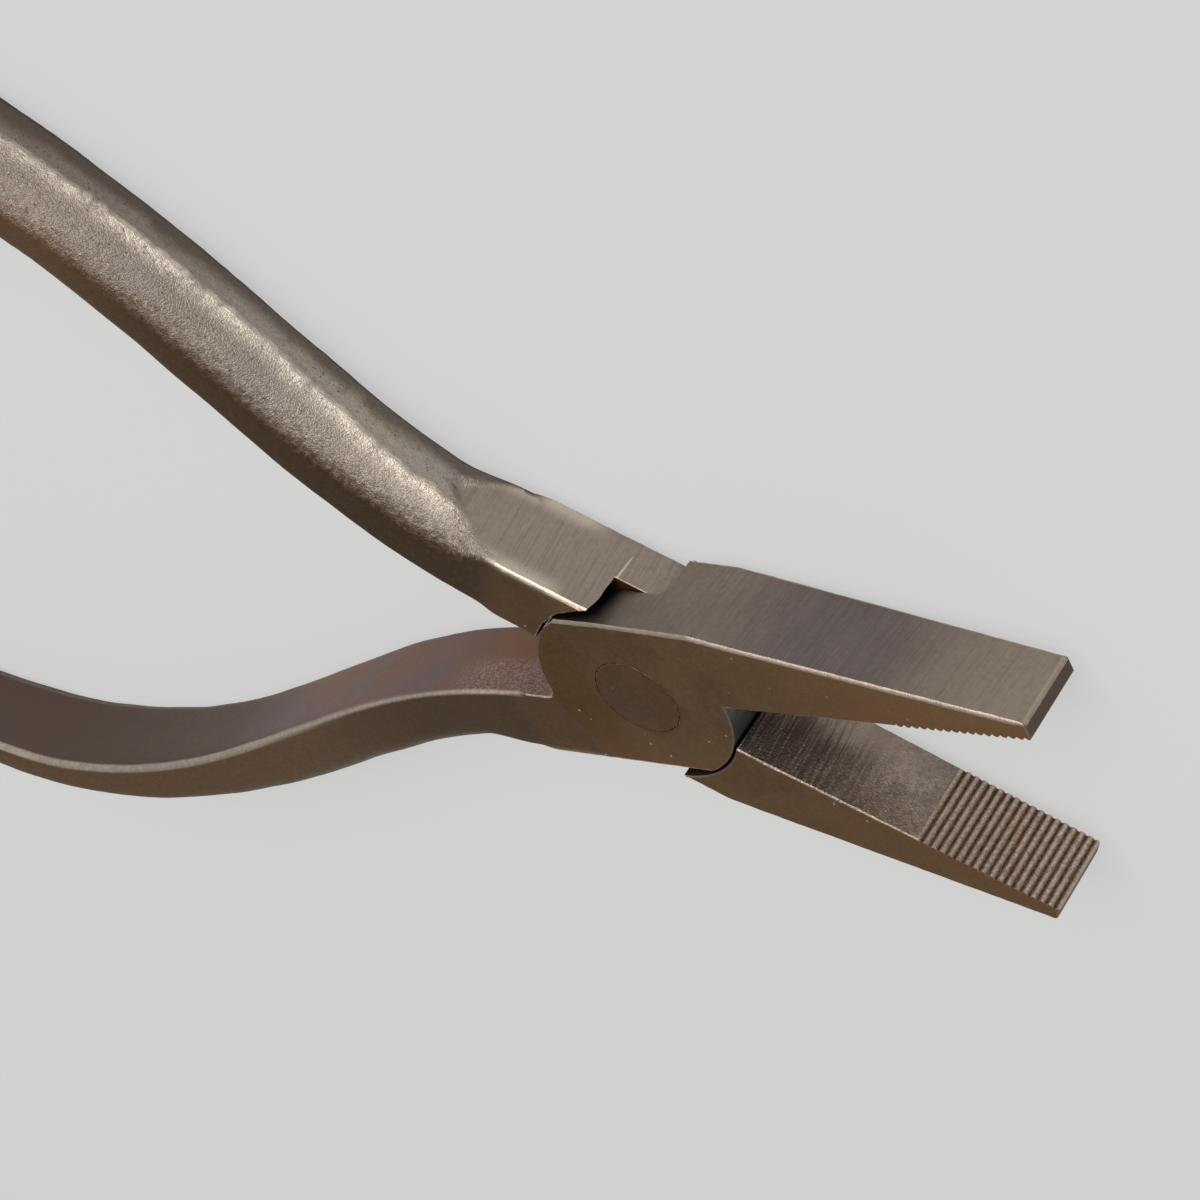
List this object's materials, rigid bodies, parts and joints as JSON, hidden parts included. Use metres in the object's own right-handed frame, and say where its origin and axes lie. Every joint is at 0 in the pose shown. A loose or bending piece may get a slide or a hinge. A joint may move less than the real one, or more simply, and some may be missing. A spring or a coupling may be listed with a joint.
{
  "type": "flat-nose pliers",
  "caption": "Steel flat-nose pliers: crossing forged halves on a flush rivet in a lap joint, with finely grooved jaw tips and plain bow handles.",
  "frame": {"origin": "on the pivot axis, on the joint's flat back face", "axes": "+X towards the jaw tips, midway between the open jaws; +Z along the pivot axis, from the joint's back face to its front face; +Y towards the front half's jaw"},
  "size_m": [0.1446, 0.1011, 0.0098],
  "materials": {
    "front_steel": "aged brown patina with worn edges",
    "rear_steel": "aged grey-brown patina with worn edges",
    "rivet_steel": "aged brown patina, ground flush"
  },
  "bodies": {
    "front": {"front_half": "front_steel", "pivot_rivet": "rivet_steel"},
    "rear": {"rear_half": "rear_steel"}
  },
  "joints": [
    {"name": "pivot", "type": "hinge", "parent": "front", "child": "rear", "pos_m": [0, 0, 0.0042], "axis": [0, 0, 1], "range_deg": [-23, 31.6]}
  ]
}
